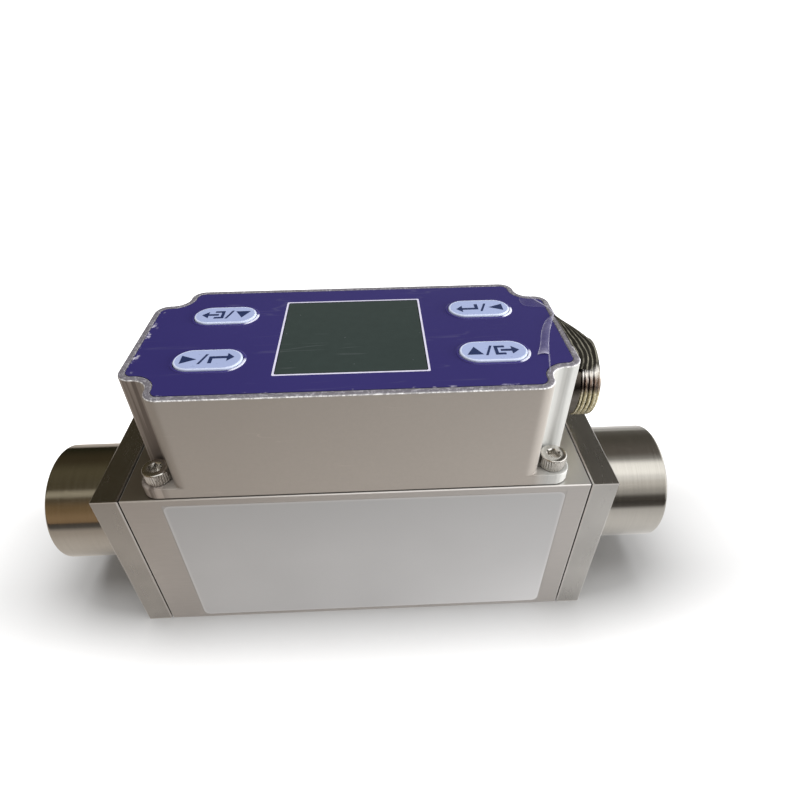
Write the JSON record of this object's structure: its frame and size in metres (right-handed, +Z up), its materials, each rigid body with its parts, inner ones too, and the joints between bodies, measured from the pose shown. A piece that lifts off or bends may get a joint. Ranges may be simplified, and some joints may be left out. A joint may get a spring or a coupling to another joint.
{
  "type": "mass flow controller",
  "caption": "In-line gas mass flow controller: square channel block between two end fittings, scooped electronics housing above with a film panel, square display and side connector",
  "frame": {"origin": "middle of the block's resting face", "axes": "+X along the flow from inlet to outlet, +Y from the front face to the back, +Z up"},
  "size_m": [0.1496, 0.044, 0.0701],
  "materials": {
    "block_aluminium": "fine machined, satin",
    "fitting_steel": "turned and milled",
    "housing_aluminium": "machined, satin, light handling wear",
    "screw_steel": "bright, knurled head",
    "panel_film": "printed film, glossy",
    "key_film": "embossed film key",
    "display_glass": "dark unlit display",
    "clear_film": "thin clear protective film",
    "label_film": "blank satin label",
    "nickel_brass": "nickel plated, worn on the thread",
    "insulator": "black moulding",
    "contact_gold": "gold plated contact",
    "rubber": "moulded rubber",
    "board_green": "solder-mask green",
    "copper_winding": "enamelled copper wire",
    "valve_steel": "turned magnetic steel"
  },
  "bodies": {
    "controller": {"board_screw_back_left": "screw_steel", "board_screw_back_right": "screw_steel", "board_screw_front_left": "screw_steel", "board_screw_front_right": "screw_steel", "channel_body": "block_aluminium", "coil_bobbin": "insulator", "coil_nut": "screw_steel", "coil_winding": "copper_winding", "connector_insert": "insulator", "connector_nut": "screw_steel", "connector_pin_1": "contact_gold", "connector_pin_2": "contact_gold", "connector_pin_3": "contact_gold", "connector_pin_4": "contact_gold", "connector_shell": "nickel_brass", "display_board": "board_green", "display_lens": "display_glass", "display_module": "display_glass", "electronics_housing": "housing_aluminium", "flow_straightener": "insulator", "front_label": "label_film", "housing_gasket": "rubber", "housing_screw_back_left": "screw_steel", "housing_screw_back_right": "screw_steel", "housing_screw_front_left": "screw_steel", "housing_screw_front_right": "screw_steel", "inlet_fitting": "fitting_steel", "inlet_fitting_screw_1": "screw_steel", "inlet_fitting_screw_2": "screw_steel", "inlet_fitting_screw_3": "screw_steel", "inlet_fitting_screw_4": "screw_steel", "inlet_screen": "valve_steel", "inlet_seal": "rubber", "lead_loom": "insulator", "outlet_fitting": "fitting_steel", "outlet_fitting_screw_1": "screw_steel", "outlet_fitting_screw_2": "screw_steel", "outlet_fitting_screw_3": "screw_steel", "outlet_fitting_screw_4": "screw_steel", "outlet_seal": "rubber", "panel_film": "panel_film", "processor_chip": "insulator", "protective_film": "clear_film", "sensor_blade": "board_green", "sensor_plug": "valve_steel", "sensor_seal": "rubber", "switch_back_left": "insulator", "switch_back_right": "insulator", "switch_front_left": "insulator", "switch_front_right": "insulator", "valve_core": "valve_steel", "valve_seat": "valve_steel", "valve_spring": "valve_steel"},
    "key_front_left": {"key_front_left": "key_film"},
    "key_front_right": {"key_front_right": "key_film"},
    "key_back_left": {"key_back_left": "key_film"},
    "key_back_right": {"key_back_right": "key_film"},
    "valve_armature": {"valve_plunger": "valve_steel", "valve_disc": "rubber"}
  },
  "joints": [
    {"name": "press_front_left", "type": "slide", "parent": "controller", "child": "key_front_left", "axis": [0, 0, -1], "range_m": [0, 0.0004], "stiffness_N_per_m": 400, "springref_m": -0.0002},
    {"name": "press_front_right", "type": "slide", "parent": "controller", "child": "key_front_right", "axis": [0, 0, -1], "range_m": [0, 0.0004], "stiffness_N_per_m": 400, "springref_m": -0.0002},
    {"name": "press_back_left", "type": "slide", "parent": "controller", "child": "key_back_left", "axis": [0, 0, -1], "range_m": [0, 0.0004], "stiffness_N_per_m": 400, "springref_m": -0.0002},
    {"name": "press_back_right", "type": "slide", "parent": "controller", "child": "key_back_right", "axis": [0, 0, -1], "range_m": [0, 0.0004], "stiffness_N_per_m": 400, "springref_m": -0.0002},
    {"name": "valve_lift", "type": "slide", "parent": "controller", "child": "valve_armature", "axis": [0, 0, 1], "range_m": [0, 0.0005], "stiffness_N_per_m": 1500, "springref_m": -0.0006, "deforming": ["valve_spring"]}
  ]
}
